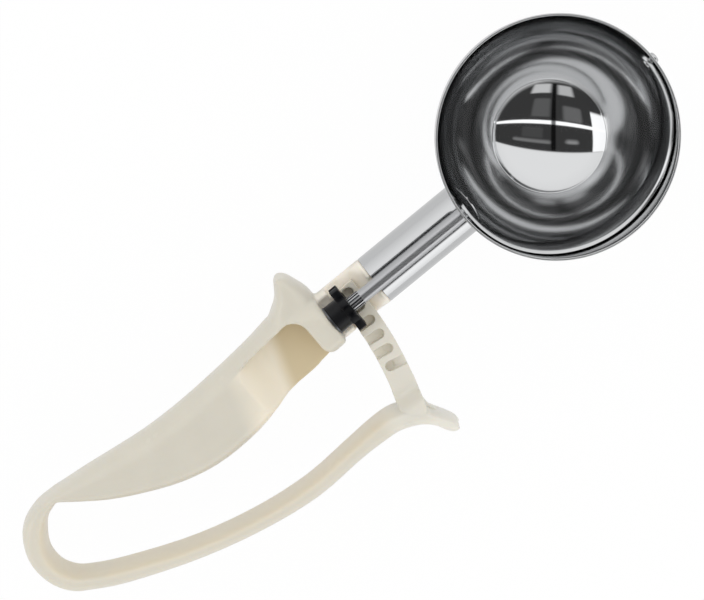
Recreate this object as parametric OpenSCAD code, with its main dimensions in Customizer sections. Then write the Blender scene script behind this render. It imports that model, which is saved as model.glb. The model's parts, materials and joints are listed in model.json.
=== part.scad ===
// Lever ice cream scoop: a sprung squeeze handle whose rack turns a shaft and a sweep blade.
// Origin at the centre of the bowl's mouth, on the rim plane. +Z out of the mouth,
// +X along the shaft away from the handle, trigger on the -Y side.

/* [Bowl] */
// Inner diameter of the bowl
bowl_bore = 66; // [60:0.5:72]
// Thickness of the bowl's steel
bowl_wall = 1; // [0.8:0.1:1.5]
// Depth of the pivot axis, and of the sphere's centre, below the rim
pivot_depth = 3.5; // [3:0.1:6]

/* [Shank] */
// Outer diameter of the shank tube and of the collar that continues it
shank_d = 15; // [13:0.5:18]
// Wall of the shank tube
shank_wall = 1; // [0.8:0.1:1.5]
// Distance from the shaft's axis down to the shank's axis
shank_drop = 9; // [8.5:0.1:12]
// Radius of the trough pressed into the shank for the shaft
trough_r = 2.9; // [2.6:0.1:3.4]
// Distance from the shaft's axis down to the trough's centre
trough_drop = 1.3; // [0.8:0.1:1.6]
// Length of the shank tube outside the bowl
shank_len = 30; // [20:1:60]
// Length of the collar between the tube and the pinion's teeth
collar_len = 9.2; // [8.5:0.1:14]
// Length of the moulded spigot inside the shank tube
spigot_len = 16; // [8:1:19]

/* [Drive shaft and pinion] */
// Diameter of the drive shaft
shaft_d = 4; // [3:0.1:5]
// Depth of the shaft's seat in the grip
seat_depth = 4.5; // [3:0.5:5]
// Length of shaft that has splines in front of the pinion
spline_len = 3.6; // [2:0.1:6]
// Number of teeth on the pinion
pinion_teeth = 8; // [7:1:10]
// Module of the pinion and of the rack
gear_module = 1.5; // [1.4:0.05:1.6]
// Thickness of the toothed flange
flange_t = 2.5; // [1.5:0.1:3]
// Diameter of the pinion's hub
hub_d = 8.5; // [7:0.1:8.6]
// Length of the pinion's hub
hub_len = 4; // [2:0.1:6]

/* [Rack] */
// Width of the rack
rack_w = 7.2; // [6:0.1:8]
// Thickness of the rack, which passes over the collar's floor
rack_h = 3.4; // [3.2:0.1:3.6]
// Number of pockets in the rack
pockets = 6; // [5:1:7]
// Width of one pocket
pocket_w = 2.8; // [2.7:0.05:2.9]

/* [Sweep blade] */
// Width of the sweep blade at its middle
blade_w = 8; // [5:0.5:10]
// Thickness of the sweep blade
blade_t = 0.8; // [0.6:0.1:1.2]
// Angle of the resting blade below the rim plane
blade_rest = 17; // [14:1:25]

/* [Handle] */
// Height of the grip and of the loop, across the handle's flat
handle_h = 19; // [17:0.5:21]
// Height of the trigger and of the finger hook
trigger_h = 18; // [15:0.5:20]
// Thickness of the sprung loop at its end
loop_t = 6; // [4.5:0.1:7]
// Height of the thumb horn above the shaft's axis
horn_rise = 18.4; // [15:0.1:22]
// Depth of the recess in the grip's front
recess_depth = 8; // [3:0.5:10]

/* [Hidden] */
$fn = 64;

ivory = "#DED7C6";
steel = "#C9CBCD";
black = "#1B1B1D";

running = 0.06;               // radial clearance of the shaft in its seats
part_gap = 0.35;              // clearance between pieces that pass each other
cut = 1;                      // how far a cutter runs past the face it opens

bowl_r = bowl_bore/2;
bowl_outer_r = bowl_r + bowl_wall;
pivot_z = -pivot_depth;
shank_r = shank_d/2;
shank_z = pivot_z - shank_drop;
trough_z = pivot_z - trough_drop;
shaft_r = shaft_d/2;

collar_x = -bowl_outer_r - shank_len;         // joint line between tube and collar
trough_x1 = -bowl_outer_r - 2.7;               // where the trough ends in front of the bowl
pitch_r = gear_module*pinion_teeth/2;
tip_r = pitch_r + 0.8*gear_module;            // stub teeth
root_r = pitch_r - gear_module;
tooth_w = 1.2*gear_module;
rack_pitch_z = pivot_z - pitch_r;             // plane in which rack and pinion roll
rack_top_z = rack_pitch_z + 0.6*gear_module;
pocket_floor_z = pivot_z - tip_r - 0.3;
rack_floor_z = rack_top_z - rack_h;

washer_t = 0.4;
flange_x1 = collar_x - collar_len;            // bowl side of the toothed flange
flange_x0 = flange_x1 - flange_t;
hub_x0 = flange_x0 - hub_len;
wall_x = hub_x0 - washer_t - 0.1;             // face of the grip that the washer runs on

// The loop bends about one point on the shaft's line, and the rack is an arc round it
grip_reach = 90.6;                            // from the grip's wall back to that point
hinge_x = wall_x - grip_reach;
loop_start = 0.4;                             // the grip's tail meets the loop this far behind it
hinge_y = 0;
mesh_r = (flange_x0 + flange_x1)/2 - hinge_x; // radius at which the pinion rolls
rack_inner_r = flange_x0 - hinge_x - 0.3;     // the teeth pass just outside the rack's inner edge
pocket_step = atan(gear_module*PI/mesh_r);    // angle from one pocket to the next
mesh_phase = 0.5;                             // pitches from the shaft's line up to the first pocket
rack_outer_r = rack_inner_r + rack_w;
rack_mid_r = rack_inner_r + rack_w/2;
rack_root_a = -asin(29/rack_mid_r);           // angle at which the rack leaves its foot
rack_foot_a = -asin(36.6/rack_mid_r);         // angle at which the foot ends inside the trigger
rack_flare_a = -asin(40/rack_mid_r);          // angle at which its flare ends at the finger hook
slot_floor_z = rack_floor_z - part_gap;       // floor of the slot that the rack sweeps through

handle_z = shank_z;                           // mid-plane of the handle

function mix(a, b, t) = a + (b - a)*t;
function catmull(a, b, c, d, t) =
    0.5*(2*b + (c - a)*t + (2*a - 5*b + 4*c - d)*t*t + (3*b - a - 3*c + d)*t*t*t);
// Smooth row of numbers at parameter u along a list of rows
function along(rows, u) = let (last = len(rows) - 1, i = min(floor(u), last - 1))
    catmull(rows[max(i - 1, 0)], rows[i], rows[i + 1], rows[min(i + 2, last)], u - i);
function power(v, e) = sign(v)*pow(abs(v), e);

// Closed loft over rings of points that all have the same count, each counterclockwise about the way it runs
module loft(rings) {
    n = len(rings[0]);
    last = len(rings) - 1;
    polyhedron(
        points = [for (ring = rings, p = ring) p],
        faces = concat(
            [[for (k = [0:n - 1]) k]],
            [[for (k = [n - 1:-1:0]) last*n + k]],
            [for (i = [0:last - 1], k = [0:n - 1]) let (m = (k + 1)%n)
                [i*n + k, (i + 1)*n + k, (i + 1)*n + m, i*n + m]]));
}

flat_side = 4.5;                              // squareness of the side that faces the fingers
round_side = 2.6;                             // squareness of the side that faces the palm
loop_side = 3;                                // squareness of the loop's and the trigger's inner side

// Rounded section: u and v half sizes, with its own squareness on the +u and the -u side
function section(half_u, half_v, square_hi, square_lo, count) =
    [for (k = [0:count - 1]) let (a = 360*k/count, e = 2/(cos(a) > 0 ? square_hi : square_lo))
        [half_u*power(cos(a), e), half_v*power(sin(a), e)]];

// ---- grip ----
// Stations along the grip: distance behind the wall, finger side y, palm side y, height, top shift
grip_rows = [
    [0, -6.4, 7.7, handle_h + 1.4, 2.2],
    [0.7, -7.3, 8.5, handle_h + 2.8, 2.3],
    [3, -7.4, 9.5, handle_h + 3.6, 2.4],
    [8, -7.8, 10.7, handle_h + 3.2, 2.2],
    [13, -8.5, 11.3, handle_h + 2.2, 1.5],
    [0.243*grip_reach, -8.9, 9.95, handle_h, 0.4],
    [0.386*grip_reach, -11.65, 8.9, handle_h - 0.5, 0],
    [0.541*grip_reach, -11.9, 8.35, handle_h - 0.5, 0],
    [0.673*grip_reach, -9.25, 8.75, handle_h - 0.5, 0],
    [0.795*grip_reach, -4.35, 10.05, handle_h - 0.5, 0],
    [0.883*grip_reach, 0.2, 11.1, handle_h - 0.5, 0],
    [0.949*grip_reach, 4.7, 11.6, handle_h - 0.5, 0],
    [grip_reach + loop_start, 8.9, 12, handle_h - 0.5, 0]];
grip_steps = 42;
ring_points = 28;

module grip_loft() {
    last = len(grip_rows) - 1;
    loft([for (i = [grip_steps:-1:0]) let (r = along(grip_rows, last*i/grip_steps))
        [for (p = section((r[2] - r[1])/2, r[3]/2, round_side, flat_side, ring_points))
            [wall_x - r[0], (r[1] + r[2])/2 + p[0], handle_z + r[4] + p[1]]]]);
}

// Stations up the thumb horn: y, back, front (both behind the wall), height across the handle
horn_rows = [
    [-1, 14, 0.5, handle_h + 1],
    [4.8, 15, 0.4, handle_h + 1],
    [8, 15.6, -0.4, handle_h + 1],
    [10.8, 13.6, -0.3, handle_h],
    [13.6, 9.2, 0.6, handle_h - 1],
    [horn_rise - 2, 6.9, 1.7, handle_h - 2],
    [horn_rise - 0.6, 6, 2.7, handle_h - 3.5],
    [horn_rise, 5.1, 3.9, handle_h - 5]];
horn_steps = 18;
ridge_y = 7.4;                // ridge between the recess and the palm side

module horn() {
    last = len(horn_rows) - 1;
    loft([for (i = [0:horn_steps]) let (r = along(horn_rows, last*i/horn_steps))
        [for (p = section(r[3]/2, (r[1] - r[2])/2, 3, 3, ring_points))
            [wall_x - (r[1] + r[2])/2 + p[1], r[0], handle_z + 1 + p[0]]]]);
}

// Recess in the grip's front: flat and deepest behind the wall, then a ramp back up to the grip's face
module recess() {
    wall_t = 6.6;                 // thickness of the grip's end wall
    flat_run = 13;
    ramp_run = 15;
    corner_r = 4.5;
    tall = 30;                    // taller and wider than the grip
    x1 = wall_x - wall_t;
    floor_z = handle_z + handle_h/2 + 0.6 - recess_depth;
    ramp_top = recess_depth + 0.8;
    intersection() {
        translate([0, 0, floor_z - cut])
            linear_extrude(tall)
                union() {
                    // the ridge along the palm side comes down toward the tail
                    polygon([[x1 - corner_r, ridge_y], [x1 - corner_r, -tall], [x1 - flat_run - ramp_run, -tall],
                        [x1 - flat_run - ramp_run, ridge_y - 2.6]]);
                    translate([x1 - corner_r, ridge_y - corner_r])
                        circle(corner_r);
                    polygon([[x1 - corner_r - 0.1, ridge_y - corner_r], [x1, ridge_y - corner_r], [x1, -4],
                        [x1 + 0.8, -6.1], [x1 + 3.4, -8], [x1 + 3.4, -tall], [x1 - corner_r - 0.1, -tall]]);
                }
        translate([0, tall, 0])
            rotate([90, 0, 0])
                linear_extrude(2*tall)
                    polygon([[x1 + 4, floor_z], [x1 + 4, floor_z + tall], [x1 - flat_run - ramp_run, floor_z + tall],
                        for (i = [12:-1:0]) let (t = i/12)
                            [x1 - flat_run - ramp_run*t, floor_z + ramp_top*(1 - cos(180*t))/2]]);
    }
}

module collar() {
    x_len = collar_x - wall_x;
    slot_flare = 3.8;
    difference() {
        union() {
            translate([wall_x - 2, 0, shank_z])
                rotate([0, 90, 0])
                    cylinder(r = shank_r, h = x_len + 2);
            translate([collar_x - 0.5, 0, shank_z])
                rotate([0, 90, 0])
                    cylinder(r = shank_r - shank_wall - 0.1, h = spigot_len + 0.5);
        }
        // trough that the shaft runs in, narrower in the collar than in the tube round the spigot
        translate([wall_x, 0, trough_z])
            rotate([0, 90, 0])
                cylinder(r = trough_r - 0.3, h = x_len + cut);
        translate([collar_x, 0, trough_z])
            rotate([0, 90, 0])
                cylinder(r = trough_r + shank_wall + 0.1, h = spigot_len + cut);
        // room for the pinion, and the slot that the rack sweeps through
        translate([wall_x, 0, pivot_z])
            rotate([0, 90, 0])
                cylinder(r = tip_r + part_gap, h = flange_x1 + part_gap - wall_x);
        translate([hinge_x, hinge_y, slot_floor_z])
            rotate([0, 0, -20])
                rotate_extrude(angle = 40)
                    // the slot's far side hollows up to the tube's joint
                    polygon([[rack_inner_r - part_gap, 0], [rack_outer_r + part_gap, 0],
                        [rack_outer_r + part_gap + 0.2, 1.2], [rack_outer_r + part_gap + 1.4, 3.2],
                        [rack_outer_r + part_gap + slot_flare, 7.6], [rack_inner_r - part_gap, 7.6]]);
    }
}

module grip() {
    color(ivory)
        difference() {
            union() {
                grip_loft();
                horn();
                collar();
            }
            recess();
            translate([wall_x - seat_depth, 0, pivot_z])
                rotate([0, 90, 0])
                    cylinder(r = shaft_r + running, h = seat_depth + cut);
        }
}

// ---- sprung loop and trigger: one band swept along a line in the handle's plane ----
// Stations: x behind the hinge's front reach, y, thickness, height
band_rows = [
    [-loop_start, 10.45, 3.1, handle_h - 0.5],
    [-1.8, 10.45, 3.2, handle_h - 0.5],
    [-6.7, 9.65, loop_t - 1, handle_h - 0.5],
    [-11.5, 6.8, loop_t + 0.8, handle_h - 0.6],
    [-15.2, 0.6, loop_t + 0.5, handle_h - 0.8],
    [-15.3, -6.1, loop_t - 0.1, handle_h - 1],
    [-12.7, -11.2, loop_t - 0.3, trigger_h + 0.2],
    [-8.6, -14.4, loop_t - 0.7, trigger_h + 0.1],
    [0.4, -19.3, loop_t - 0.6, trigger_h],
    [0.213*grip_reach, -26.9, loop_t - 1.1, trigger_h],
    [0.422*grip_reach, -32, loop_t - 1, trigger_h],
    [0.618*grip_reach, -34.4, loop_t - 0.5, trigger_h],
    [0.79*grip_reach, -33.8, loop_t - 0.4, trigger_h],
    [0.89*grip_reach, -33.7, loop_t + 0.3, trigger_h],
    [0.956*grip_reach, -34.3, loop_t + 0.5, trigger_h],
    [1.016*grip_reach, -36.9, loop_t, trigger_h],
    [1.053*grip_reach, -40.8, loop_t - 1.8, trigger_h],
    [1.075*grip_reach, -44.4, loop_t - 1.7, trigger_h - 1],
    [1.087*grip_reach, -46.3, loop_t - 2.4, trigger_h - 2.5],
    [1.091*grip_reach, -47.2, loop_t - 4, trigger_h - 5]];
band_cut = 8;                 // station at which the loop becomes the trigger

module band(first, last, steps) {
    loft([for (i = [0:steps]) let (
            u = mix(first, last, i/steps),
            r = along(band_rows, u),
            d = along(band_rows, min(u + 0.02, len(band_rows) - 1)) - along(band_rows, u - 0.02 < 0 ? 0 : u - 0.02),
            a = atan2(d[1], d[0]))
        [for (p = section(r[2]/2, r[3]/2, loop_side, round_side, ring_points))
            [hinge_x + r[0] - p[0]*sin(a), hinge_y + r[1] + p[0]*cos(a), handle_z + p[1]]]]);
}

module spring_loop() {
    color(ivory)
        band(0, band_cut, 26);
}

function polar(r, a) = [hinge_x + r*cos(a), hinge_y + r*sin(a)];

// Foot of the rack: it climbs to the trigger's front and flares into the finger hook
module rack_foot() {
    root_y = rack_mid_r*sin(rack_root_a);
    foot_y = rack_mid_r*sin(rack_foot_a);
    climb = handle_z + trigger_h/2 - 0.9 - rack_top_z;
    intersection() {
        translate([0, 0, rack_floor_z])
            linear_extrude(rack_h + climb)
                polygon([polar(rack_inner_r, rack_root_a), polar(rack_inner_r, rack_foot_a),
                    // share of the way back to the root, and how far the flare stands out there
                    for (f = [[0, 3], [0.13, 2.3], [0.25, 1.4], [0.37, 0.7], [0.5, 0.2], [0.7, 0], [1, 0]])
                        polar(rack_outer_r + f[1], mix(rack_flare_a, rack_root_a, f[0]))]);
        translate([hinge_x + rack_inner_r/2, 0, 0])
            rotate([90, 0, 90])
                linear_extrude(rack_inner_r)
                    polygon([[root_y + 10, rack_floor_z - cut], [root_y + 10, rack_top_z],
                        for (i = [0:8]) let (t = i/8)
                            [mix(root_y - 0.5, foot_y + 1.6, t), rack_top_z + climb*(1 - cos(180*t))/2],
                        [foot_y - 10, rack_top_z + climb], [foot_y - 10, rack_floor_z - cut]]);
    }
}

module trigger_lever() {
    color(ivory) {
        band(band_cut + 0.003, len(band_rows) - 1, 40);
        rack_foot();
    }
}

// ---- rack ----
// One pocket, on a radius of the rack: blind and round at one end, open at the other edge.
// The last one is turned about: it is open at the rack's outer edge.
module pocket(turned) {
    wall = turned ? 1 : 1.5;
    floor_z = pocket_floor_z - 0.1;
    depth = rack_top_z - floor_z;
    round_at = turned ? rack_inner_r + wall + pocket_w/2 : rack_outer_r - wall - pocket_w/2;
    open_at = turned ? rack_outer_r : rack_inner_r;
    way = turned ? 1 : -1;
    rise = turned ? 1.8 : 0.3;    // the floor climbs toward the open edge
    translate([0, 0, floor_z]) {
        translate([round_at, 0, 0])
            cylinder(d = pocket_w, h = depth + cut);
        translate([0, pocket_w/2, 0])
            rotate([90, 0, 0])
                linear_extrude(pocket_w)
                    polygon([[round_at, 0], [round_at, depth + cut], [open_at + way*cut, depth + cut],
                        [open_at + way*cut, rise], [open_at - 0.2*way, rise]]);
    }
}

module rack_arm() {
    tip_y = 4.7;
    tip_a = asin(tip_y/rack_outer_r);
    color(ivory)
        difference() {
            translate([hinge_x, hinge_y, rack_floor_z])
                rotate([0, 0, rack_root_a])
                    rotate_extrude(angle = tip_a - rack_root_a)
                        translate([rack_inner_r, 0])
                            square([rack_w, rack_h]);
            for (i = [0:pockets - 1])
                translate([hinge_x, hinge_y, 0])
                    rotate([0, 0, (mesh_phase - i)*pocket_step])
                        pocket(i == pockets - 1);
        }
}

// ---- steel ----
// Tube, or the space in it, with the trough that stops short of the bowl and the neck for the shaft alone
module trough_body(r, grow, x0, x1) {
    difference() {
        translate([x0, 0, shank_z])
            rotate([0, 90, 0])
                cylinder(r = r, h = x1 - x0);
        translate([x0 - cut, 0, trough_z])
            rotate([0, 90, 0])
                cylinder(r = trough_r + grow, h = trough_x1 - x0 + cut);
        translate([trough_x1, 0, trough_z])
            sphere(trough_r + grow);
        translate([x0 - cut, 0, pivot_z])
            rotate([0, 90, 0])
                cylinder(r = shaft_r + part_gap + grow, h = x1 - x0 + 2*cut);
    }
}

module shank_tube() {
    color(steel)
        difference() {
            trough_body(shank_r, 0, collar_x, 0);
            trough_body(shank_r - shank_wall, shank_wall, collar_x - cut, cut);
            translate([0, 0, pivot_z])
                sphere(bowl_outer_r, $fn = 128);
        }
}

module bowl() {
    color(steel)
        difference() {
            rotate_extrude($fn = 128)
                difference() {
                    union() {
                        translate([0, pivot_z])
                            circle(bowl_outer_r);
                        translate([0, pivot_z])
                            square([bowl_outer_r, pivot_depth]);
                    }
                    translate([0, pivot_z])
                        circle(bowl_r);
                    translate([0, pivot_z])
                        square([bowl_r, bowl_bore]);
                    translate([-2*bowl_bore, -2*bowl_bore])
                        square([2*bowl_bore, 4*bowl_bore]);
                    translate([-bowl_bore, 0])
                        square([2*bowl_bore, bowl_bore]);
                }
            translate([-bowl_outer_r - cut, 0, pivot_z])
                rotate([0, 90, 0])
                    cylinder(r = shaft_r + running, h = bowl_wall + 3*cut);
            translate([bowl_r - 2*cut, 0, pivot_z])
                rotate([0, 90, 0])
                    cylinder(r = rivet_r, h = bowl_wall + 3*cut);
        }
}

rivet_r = 1.1;
blade_r = sqrt(pow(bowl_r - part_gap, 2) - pow(blade_w/2, 2));
blade_hole_r = shaft_r - 0.6;
ear_r = 3;
taper_from = 14;              // depth at which the blade reaches its full width
step_lap = 0.1;               // lap between the steps of one turned piece

module drive_shaft() {
    tail_x = wall_x - seat_depth + 0.2;
    shoulder_x = -blade_r - 0.05;
    spline_r = shaft_r + 0.25;
    color(steel)
        translate([0, 0, pivot_z])
            rotate([0, 90, 0]) {
                translate([0, 0, tail_x])
                    cylinder(r = shaft_r, h = shoulder_x - tail_x);
                translate([0, 0, shoulder_x - step_lap])
                    cylinder(r = blade_hole_r, h = blade_t + 0.4 + step_lap);
                translate([0, 0, shoulder_x + blade_t + 0.1])
                    cylinder(r1 = blade_hole_r + 0.5, r2 = blade_hole_r, h = 0.6);
                translate([0, 0, hub_x0 + 0.5])
                    linear_extrude(flange_x1 + spline_len - hub_x0 - 0.5)
                        for (k = [0:11])
                            rotate(30*k)
                                translate([shaft_r - 0.3, -0.3])
                                    square([0.55, 0.6]);
            }
}

module thrust_washer() {
    color(steel)
        translate([wall_x + 0.05, 0, pivot_z])
            rotate([0, 90, 0])
                difference() {
                    cylinder(d = hub_d + 0.4, h = washer_t);
                    translate([0, 0, -cut])
                        cylinder(r = shaft_r + running, h = washer_t + 2*cut);
                }
}

module pinion() {
    tooth_a = 360/pinion_teeth;
    color(black)
        translate([0, 0, pivot_z])
            rotate([0, 90, 0])
                difference() {
                    union() {
                        translate([0, 0, hub_x0])
                            cylinder(d = hub_d, h = hub_len + 0.1);
                        translate([0, 0, flange_x0])
                            linear_extrude(flange_t)
                                intersection() {
                                    circle(tip_r);
                                    union() {
                                        circle(root_r);
                                        for (k = [0:pinion_teeth - 1])
                                            rotate((mesh_phase + k)*tooth_a)
                                                translate([0, -tooth_w/2])
                                                    square([tip_r, tooth_w]);
                                    }
                                }
                    }
                    translate([0, 0, hub_x0 - cut])
                        cylinder(r = shaft_r + 0.27, h = hub_len + flange_t + 2*cut);
                }
}

// Strip bent to the bowl, narrower toward its ears, turned to where it rests
module sweep_blade() {
    half = blade_w/2;
    color(steel)
        translate([0, 0, pivot_z])
            rotate([blade_rest - 90, 0, 0])
                difference() {
                    intersection() {
                        translate([0, half, 0])
                            rotate([90, 0, 0])
                                difference() {
                                    cylinder(r = blade_r, h = blade_w, $fn = 128);
                                    translate([0, 0, -cut])
                                        cylinder(r = blade_r - blade_t, h = blade_w + 2*cut, $fn = 128);
                                }
                        translate([-bowl_bore/2, 0, 0])
                            rotate([90, 0, 90])
                                linear_extrude(bowl_bore)
                                    union() {
                                        polygon([[-ear_r, 0], [-ear_r, -2], [-half, -taper_from], [-half, -bowl_r],
                                            [half, -bowl_r], [half, -taper_from], [ear_r, -2], [ear_r, 0]]);
                                        circle(ear_r);
                                    }
                    }
                    translate([-bowl_r, 0, 0])
                        rotate([0, 90, 0])
                            cylinder(r = blade_hole_r + 0.02, h = bowl_r/2);
                    translate([bowl_r/2, 0, 0])
                        rotate([0, 90, 0])
                            cylinder(r = rivet_r + running, h = bowl_r/2);
                }
}

module pivot_rivet() {
    head_r = 1.6;
    color(steel)
        translate([0, 0, pivot_z])
            rotate([0, 90, 0]) {
                translate([0, 0, blade_r - blade_t - step_lap])
                    cylinder(r = rivet_r, h = bowl_outer_r - blade_r + blade_t + 2*step_lap);
                translate([0, 0, blade_r - blade_t - 0.7])
                    cylinder(r1 = rivet_r - 0.3, r2 = rivet_r + 0.4, h = 0.6);
                translate([0, 0, bowl_outer_r])
                    intersection() {
                        cylinder(r = head_r, h = 1);
                        translate([0, 0, -0.8])
                            sphere(1.8);
                    }
            }
}

grip();
spring_loop();
trigger_lever();
rack_arm();
shank_tube();
bowl();
drive_shaft();
thrust_washer();
pinion();
sweep_blade();
pivot_rivet();
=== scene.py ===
# %% [markdown]
# # A lever ice cream scoop
# The tool is one springy ivory moulding, a steel bowl on a short chromed tube, and a thin rod that
# turns a sweep blade in the bowl. When the trigger is squeezed, its curved rack rolls a small black
# pinion on the rod. This lesson dresses the plain CAD frame: it loads the frame, models each piece
# with the tools a person would use by hand, gives it the finish it was made with, and lights it.

# %% Load the frame
import json
import math
import bpy
from mathutils import Matrix, Vector

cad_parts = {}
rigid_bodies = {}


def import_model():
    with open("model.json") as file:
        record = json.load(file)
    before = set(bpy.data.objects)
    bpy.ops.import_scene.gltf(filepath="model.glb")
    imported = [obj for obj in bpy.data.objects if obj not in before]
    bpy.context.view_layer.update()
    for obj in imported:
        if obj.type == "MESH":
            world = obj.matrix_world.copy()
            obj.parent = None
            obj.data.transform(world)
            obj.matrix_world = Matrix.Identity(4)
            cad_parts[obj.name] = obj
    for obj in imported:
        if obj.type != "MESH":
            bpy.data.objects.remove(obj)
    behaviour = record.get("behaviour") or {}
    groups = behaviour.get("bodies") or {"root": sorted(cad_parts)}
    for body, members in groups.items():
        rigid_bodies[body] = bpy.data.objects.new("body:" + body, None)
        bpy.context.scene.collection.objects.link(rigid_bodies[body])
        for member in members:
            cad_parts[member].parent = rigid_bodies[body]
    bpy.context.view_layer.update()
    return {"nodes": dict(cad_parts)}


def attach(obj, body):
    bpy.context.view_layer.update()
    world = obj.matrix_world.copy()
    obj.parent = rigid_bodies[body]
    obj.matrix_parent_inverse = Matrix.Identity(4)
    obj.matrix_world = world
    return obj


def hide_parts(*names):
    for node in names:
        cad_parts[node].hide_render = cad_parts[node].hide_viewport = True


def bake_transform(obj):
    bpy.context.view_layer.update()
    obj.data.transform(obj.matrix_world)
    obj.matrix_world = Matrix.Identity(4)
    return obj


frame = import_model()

print("nodes:", sorted(frame["nodes"]))

# %% [markdown]
# Blender works in metres and the maker's sizes are in millimetres, so one factor joins the two. The
# sizes below are the ones that several pieces share: the rod's line, the bowl and the tube. Every
# piece takes its place from them, so the pieces meet as the real ones do.

# %% Shared sizes
MM = 0.001
AXIS_Z = -3.5            # height of the rod's line, which is also the bowl's centre
BOWL_R = 33.0            # inside of the bowl, as drawn
WALL = 1.0               # its wall as drawn, and the sheet of the tube
TUBE_R = 7.5             # outside of the tube
TUBE_Z = -12.5           # height of the tube's own axis
JOINT_X = -64.0          # where the tube ends and the moulded collar goes on
ROD_R = 2.0
HINGE_X = -170.8         # the loop bends about this point on the rod's line
PINION_X = -74.45        # middle of the teeth


def at(x, y, z):
    return Vector((x, y, z)) * MM


print("hinge to pinion:", round(PINION_X - HINGE_X, 2), "mm")

# %% [markdown]
# A few helpers keep the cells short. Operators act on whatever is selected, so every step starts by
# selecting one object only. Faces and edges are then picked in code by where they are, which is what
# a person does with the mouse.

# %% Helpers for picking
def only(obj):
    if bpy.context.object and bpy.context.object.mode != "OBJECT":
        bpy.ops.object.mode_set(mode="OBJECT")
    bpy.ops.object.select_all(action="DESELECT")
    obj.select_set(True)
    bpy.context.view_layer.objects.active = obj
    return obj


def named(name):
    obj = bpy.context.object
    obj.name = obj.data.name = name
    return obj


def modify(obj, kind, **settings):
    only(obj)
    mod = obj.modifiers.new(kind.lower(), kind)
    for key, value in settings.items():
        setattr(mod, key, value)
    bpy.ops.object.modifier_apply(modifier=mod.name)
    return obj


def pick(obj, test, kind="VERT"):
    """Selects what passes the test on its middle point, in millimetres, and leaves edit mode on."""
    only(obj)
    bpy.ops.object.mode_set(mode="EDIT")
    bpy.ops.mesh.select_mode(type=kind)
    bpy.ops.mesh.select_all(action="DESELECT")
    bpy.ops.object.mode_set(mode="OBJECT")
    mesh, count = obj.data, 0
    parts = {"VERT": mesh.vertices, "EDGE": mesh.edges, "FACE": mesh.polygons}[kind]
    for part in parts:
        if kind == "VERT":
            middle = part.co
        else:
            middle = sum((mesh.vertices[i].co for i in part.vertices), Vector()) / len(part.vertices)
        if test(obj.matrix_world @ middle / MM, part):
            part.select = True
            count += 1
    bpy.ops.object.mode_set(mode="EDIT")
    return count


print("picking ready")

# %% [markdown]
# The next helpers are for whole pieces: fix a piece's place in its mesh, weld its points, copy a piece
# of the CAD, join pieces, and cut one with another. The two primitives that come back often, a round
# bar and a ball, get a helper each.

# %% Helpers for whole pieces
def bake_place(obj):
    only(obj)
    bpy.ops.object.transform_apply(location=True, rotation=True, scale=True)
    return obj


def tidy_mesh(obj, merge=0.004):
    only(obj)
    bpy.ops.object.mode_set(mode="EDIT")
    bpy.ops.mesh.select_all(action="SELECT")
    bpy.ops.mesh.remove_doubles(threshold=merge * MM)
    bpy.ops.mesh.normals_make_consistent(inside=False)
    bpy.ops.object.mode_set(mode="OBJECT")
    return obj


def smooth(obj, angle=30):
    only(obj)
    bpy.ops.object.shade_smooth_by_angle(angle=math.radians(angle))
    return obj


def copy_of(node, name):
    """A merged copy of a CAD node: the node's own mesh is loose triangles and stays as it is."""
    only(frame["nodes"][node])
    bpy.ops.object.duplicate()
    obj = named(name)
    bpy.ops.object.parent_clear(type="CLEAR_KEEP_TRANSFORM")
    bpy.ops.object.transform_apply(location=True, rotation=True, scale=True)
    return tidy_mesh(obj)


def join(first, *others):
    only(first)
    for obj in others:
        obj.select_set(True)
    bpy.ops.object.join()
    return first


def cut_by(obj, cutter, operation="DIFFERENCE"):
    modify(obj, "BOOLEAN", object=cutter, operation=operation, solver="EXACT")
    bpy.data.objects.remove(cutter, do_unlink=True)
    return obj


def rod(name, radius, x0, x1, z=AXIS_Z, y=0.0, sides=64):
    """A round bar along X, from x0 to x1."""
    bpy.ops.object.select_all(action="DESELECT")
    bpy.ops.mesh.primitive_cylinder_add(vertices=sides, radius=radius * MM, depth=(x1 - x0) * MM,
                                        location=at((x0 + x1) / 2, y, z), rotation=(0, math.pi / 2, 0))
    return bake_place(named(name))


def ball(name, radius, x=0.0, z=AXIS_Z, rings=96):
    bpy.ops.object.select_all(action="DESELECT")
    bpy.ops.mesh.primitive_uv_sphere_add(segments=2 * rings, ring_count=rings, radius=radius * MM,
                                         location=at(x, 0, z))
    return bake_place(named(name))


def faces_of(obj):
    return f"{obj.name}: {len(obj.data.polygons)} faces"


print("modelling helpers ready")

# %% [markdown]
# A finish is a small graph of nodes on the Principled shader. The colours are written as the hex
# values a painter would read off a chart, and one function turns them to the linear values that the
# renderer needs. One small function adds a node, sets it, links it and gives back the output that the
# next node wants, so a pattern reads from the inside out.

# %% Helpers for finishes
def colour(hex_value):
    parts = [int(hex_value[i:i + 2], 16) / 255 for i in (1, 3, 5)]
    return [c / 12.92 if c <= 0.04045 else ((c + 0.055) / 1.055) ** 2.4 for c in parts] + [1.0]


def plug(tree, node, inputs):
    """Sets a node's inputs, by their names or numbers. A value that is itself a socket is linked."""
    for key, value in inputs.items():
        if isinstance(value, bpy.types.NodeSocket):
            tree.links.new(value, node.inputs[key])
        else:
            node.inputs[key].default_value = value


def add(tree, kind, inputs=(), out=0, **settings):
    """Adds a node and gives back an output. Inputs are a list in socket order, or a dictionary."""
    node = tree.nodes.new("ShaderNode" + kind)
    for key, value in settings.items():
        setattr(node, key, value)
    plug(tree, node, inputs if isinstance(inputs, dict) else dict(enumerate(inputs)))
    return node.outputs[out] if node.outputs else None


def finish(name):
    material = bpy.data.materials.new(name)
    material.use_nodes = True
    return material, material.node_tree, material.node_tree.nodes["Principled BSDF"]


print("a painter's #808080 is", round(colour("#808080")[0], 3), "to the renderer")

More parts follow.
